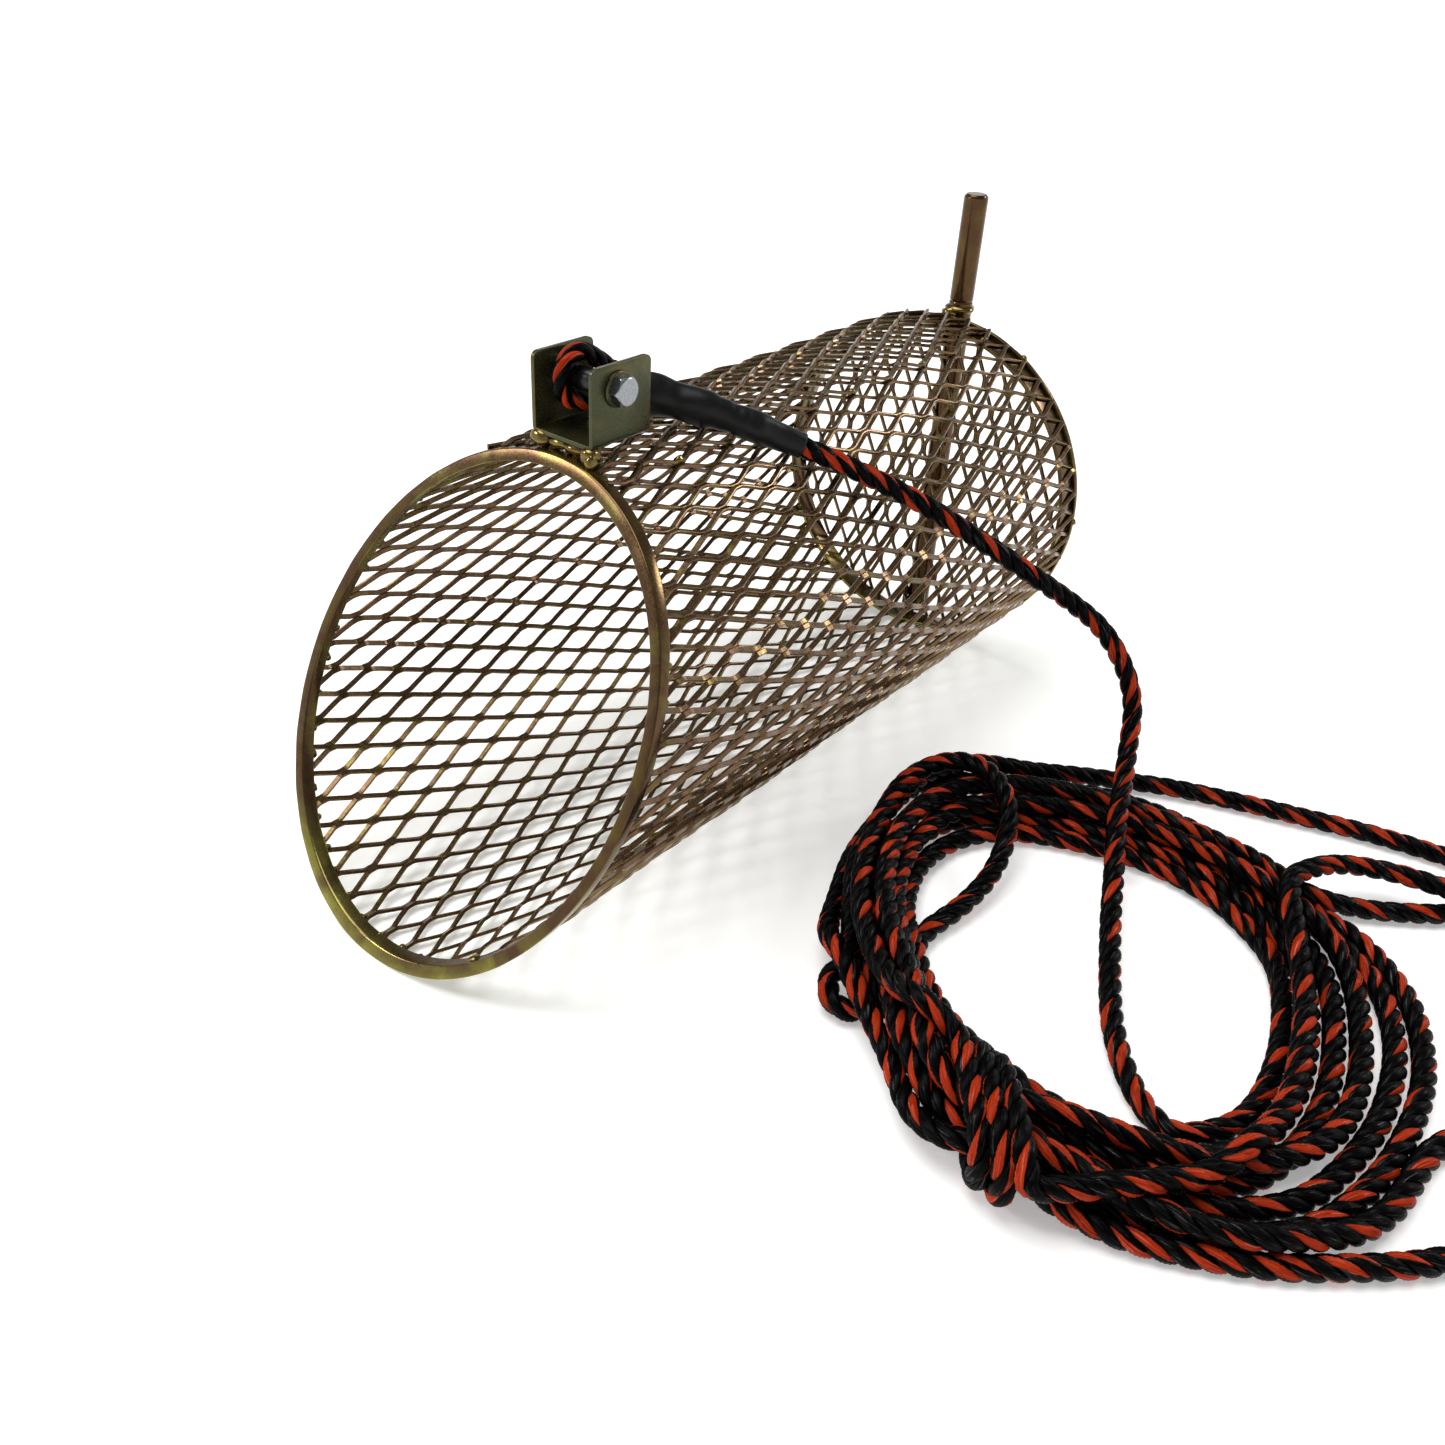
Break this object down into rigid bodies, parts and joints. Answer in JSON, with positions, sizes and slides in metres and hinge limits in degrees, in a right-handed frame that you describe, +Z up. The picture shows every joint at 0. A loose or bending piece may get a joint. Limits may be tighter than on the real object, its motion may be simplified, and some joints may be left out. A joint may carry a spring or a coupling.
{
  "type": "mesh scoop basket",
  "caption": "Cylindrical expanded-metal scoop basket with an oblique ringed mouth, closed mesh end, roller tow bracket and a coiled tow rope.",
  "frame": {"origin": "on the floor, under the middle of the basket's length", "axes": "+Z up, +Y from the mouth to the closed end, +X towards the bolt's head"},
  "size_m": [0.5307, 0.4244, 0.2464],
  "materials": {
    "mesh": "zinc plated, yellow chromate, satin",
    "frame": "zinc plated, yellow chromate, satin",
    "weld": "plated weld metal",
    "bolt": "bright zinc",
    "roller": "black tube",
    "rope": "black three-strand polypropylene with an orange tracer",
    "shrink": "matte heat-shrink"
  },
  "bodies": {
    "root": {"mesh_body": "mesh", "mesh_lap": "mesh", "end_cap_mesh": "mesh", "mouth_ring": "frame", "mouth_ring_joint": "weld", "mouth_welds": "weld", "rear_band": "frame", "rear_welds": "weld", "lap_welds": "weld", "cap_welds": "weld", "cross_rod": "frame", "rod_welds": "weld", "tow_bracket": "frame", "bracket_welds": "weld", "tow_bolt": "bolt", "tow_nut": "bolt", "bolt_washers": "frame", "rope_lead": "rope", "rope_outer_turn": "rope", "rope_side_turn": "rope", "rope_end": "rope", "rope_coil": "rope"},
    "roller": {"roller_sleeve": "roller"},
    "tow_eye": {"rope_eye": "rope", "heat_shrink": "shrink"}
  },
  "joints": [
    {"name": "roller_spin", "type": "hinge", "parent": "root", "child": "roller", "pos_m": [0, -0.0837, 0.2124], "axis": [1, 0, 0], "continuous": true},
    {"name": "eye_swing", "type": "hinge", "parent": "root", "child": "tow_eye", "pos_m": [0, -0.0837, 0.2124], "axis": [1, 0, 0], "range_deg": [0, 170], "deforming": ["rope_lead"]}
  ]
}
